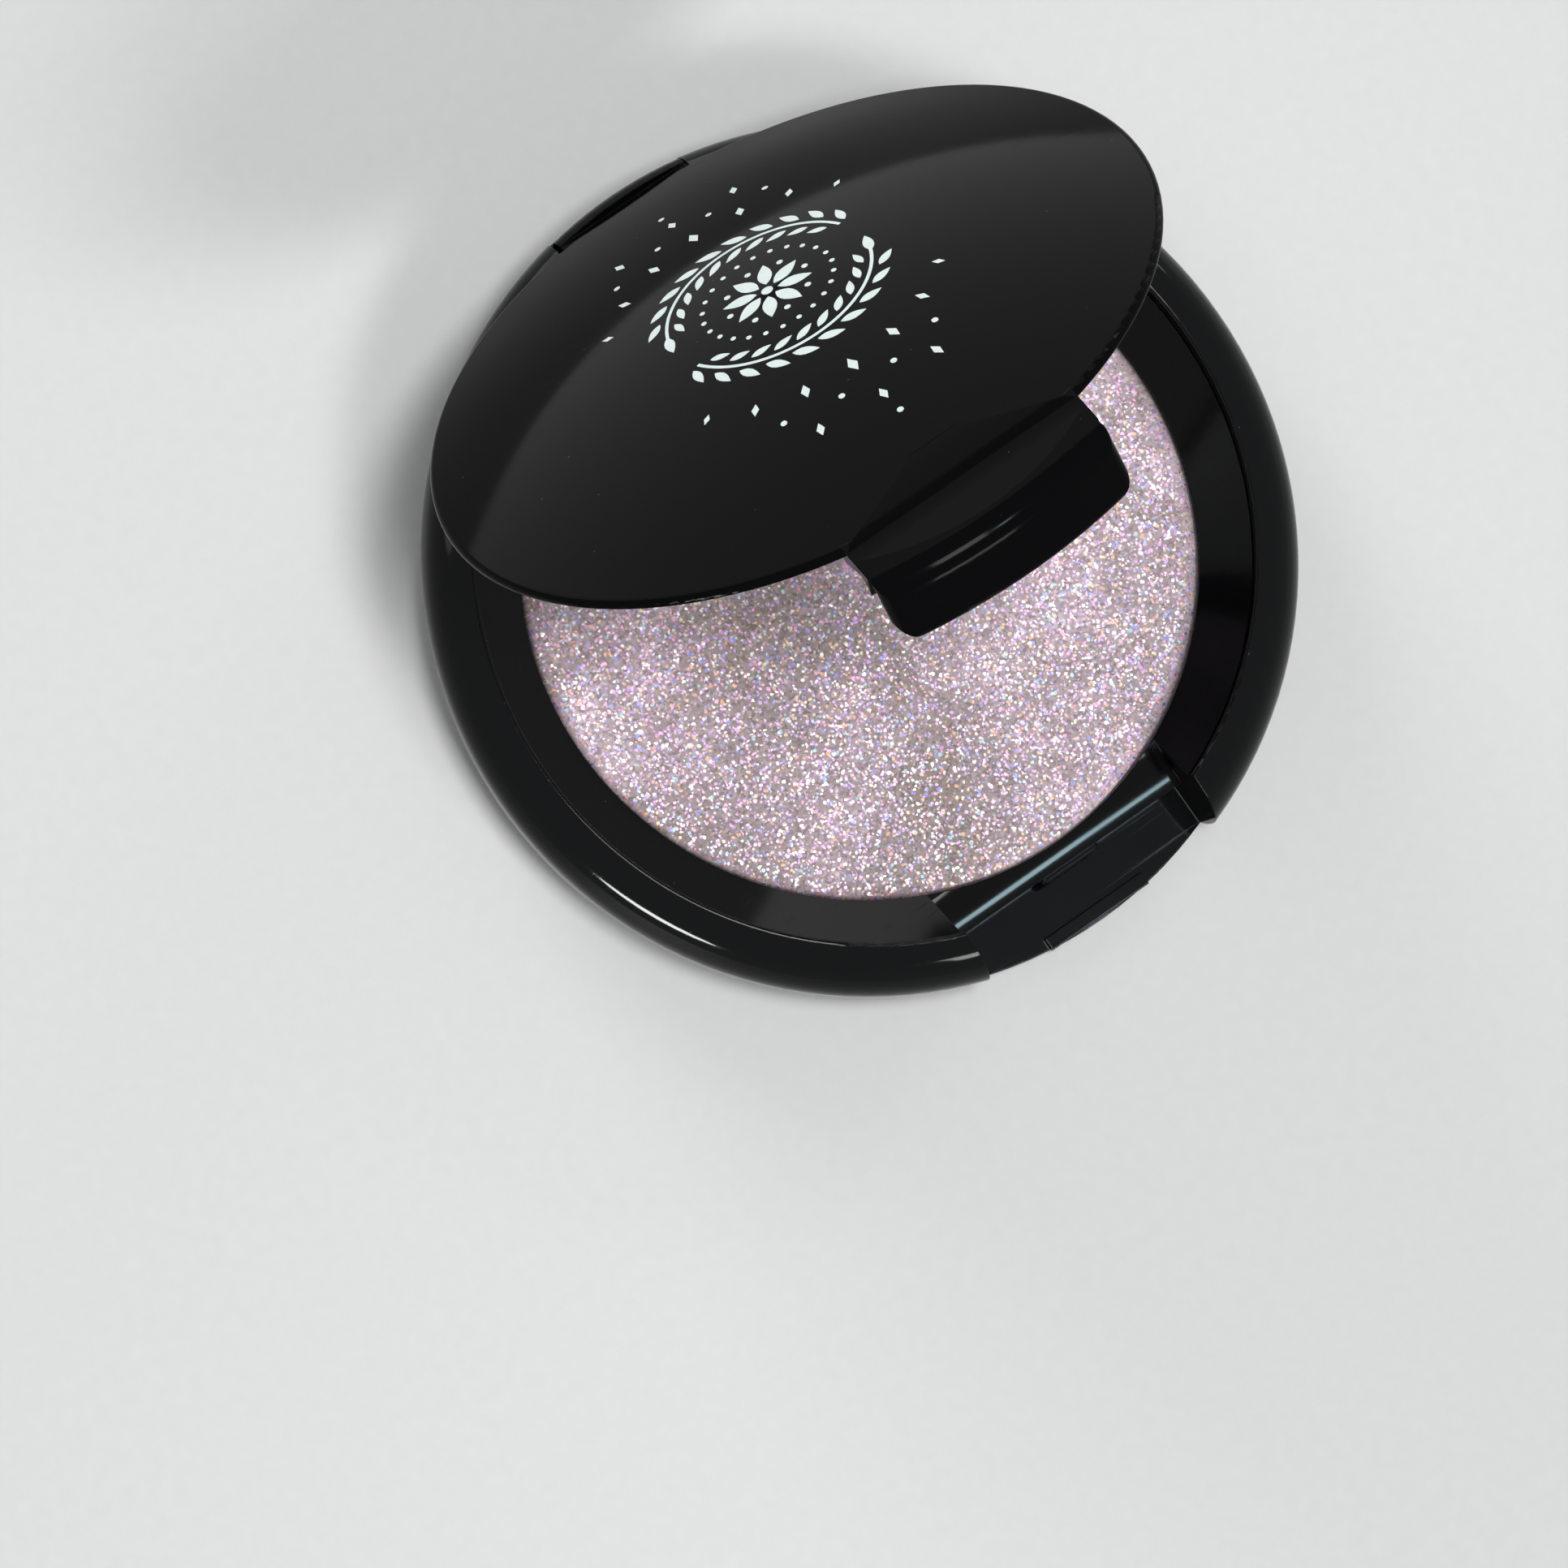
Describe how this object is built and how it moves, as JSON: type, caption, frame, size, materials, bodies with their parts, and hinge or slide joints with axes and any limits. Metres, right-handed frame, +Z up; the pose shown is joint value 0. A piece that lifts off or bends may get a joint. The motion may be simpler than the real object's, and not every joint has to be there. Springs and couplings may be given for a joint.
{
  "type": "eyeshadow compact",
  "caption": "Round eyeshadow compact with a pan of pressed shimmer powder, a domed lid hinged at the rear with a mirror inside it, and a wide thumb tab that snaps into a notch at the front.",
  "frame": {"origin": "centre of the underside of the base, on the surface it rests on", "axes": "+Z up, +Y from the thumb tab to the hinge, +X to the right seen from the front"},
  "size_m": [0.0636, 0.0629, 0.0556],
  "materials": {
    "base_black": "moulded black plastic, high gloss",
    "ring_black": "moulded black plastic, high gloss",
    "pan_metal": "stamped sheet, satin",
    "adhesive": "dried hot-melt glue",
    "powder": "pressed powder full of coloured sparkle",
    "pin_steel": "drawn steel wire",
    "lid_black": "moulded black plastic, high gloss, printed on top",
    "liner_black": "moulded black plastic, satin gloss",
    "mirror": "silvered glass",
    "tape": "double-sided tape",
    "print_ink": "pale pad-printed ink on the lid"
  },
  "bodies": {
    "base": {"base_shell": "base_black", "base_ring": "ring_black", "pan": "pan_metal", "pan_adhesive": "adhesive", "powder_fill": "powder", "hinge_pin": "pin_steel"},
    "lid": {"lid_shell": "lid_black", "lid_liner": "liner_black", "mirror_glass": "mirror", "mirror_tape": "tape"}
  },
  "joints": [
    {"name": "lid_hinge", "type": "hinge", "parent": "base", "child": "lid", "pos_m": [0, 0.02814, 0.0068], "axis": [-1, 0, 0], "range_deg": [-54.24, 29.76]}
  ]
}
